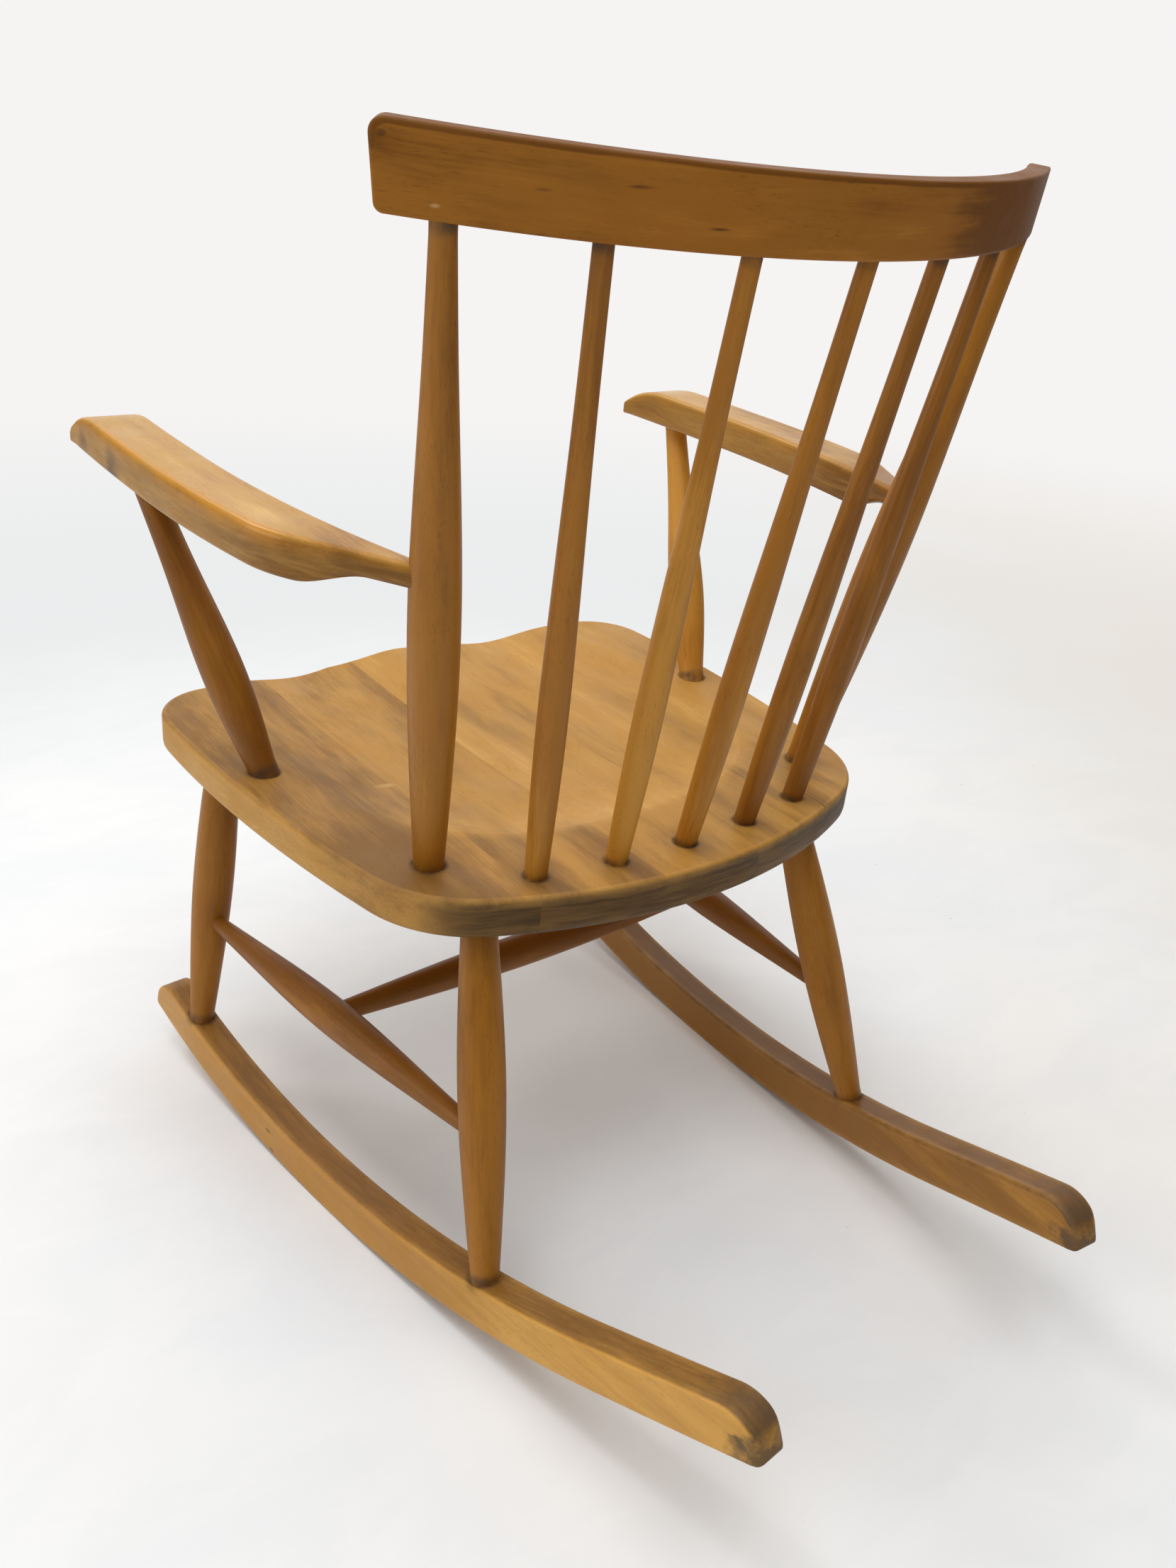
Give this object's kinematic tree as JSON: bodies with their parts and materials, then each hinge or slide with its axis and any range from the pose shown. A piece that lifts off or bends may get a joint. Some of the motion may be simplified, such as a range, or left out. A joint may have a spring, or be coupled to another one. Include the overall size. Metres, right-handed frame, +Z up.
{
  "type": "rocking chair",
  "caption": "Rocking chair with a saddled plank seat, bowed flat arms, a curved crest rail over turned spindles, and turned legs with stretchers on curved rockers.",
  "frame": {"origin": "on the floor, midway between the rockers and midway between their tips", "axes": "+Z up, +Y to the back of the chair, +X to the sitter's left; the sitter faces -Y"},
  "size_m": [0.634, 0.8181, 0.891],
  "materials": {
    "seat_wood": "worn satin lacquer, grain along the boards, grey-brown stains",
    "rail_wood": "satin lacquer, fine grain along the rail, pale worn upper arris",
    "arm_wood": "worn satin lacquer, amber where it is thick on the arrises",
    "turned_wood": "satin amber lacquer over turned wood, grain along the stick",
    "rocker_wood": "satin amber lacquer, dark wear at the tips"
  },
  "bodies": {
    "root": {"back_spindle_1": "turned_wood", "back_spindle_2": "turned_wood", "back_spindle_3": "turned_wood", "back_spindle_4": "turned_wood", "back_spindle_5": "turned_wood", "crest_rail": "rail_wood", "cross_stretcher": "turned_wood", "left_arm": "arm_wood", "left_arm_support": "turned_wood", "left_back_post": "turned_wood", "left_front_leg": "turned_wood", "left_rear_leg": "turned_wood", "left_rocker": "rocker_wood", "left_side_stretcher": "turned_wood", "right_arm": "arm_wood", "right_arm_support": "turned_wood", "right_back_post": "turned_wood", "right_front_leg": "turned_wood", "right_rear_leg": "turned_wood", "right_rocker": "rocker_wood", "right_side_stretcher": "turned_wood", "seat_board_1": "seat_wood", "seat_board_2": "seat_wood", "seat_board_3": "seat_wood", "seat_board_4": "seat_wood", "seat_board_5": "seat_wood"}
  },
  "joints": []
}
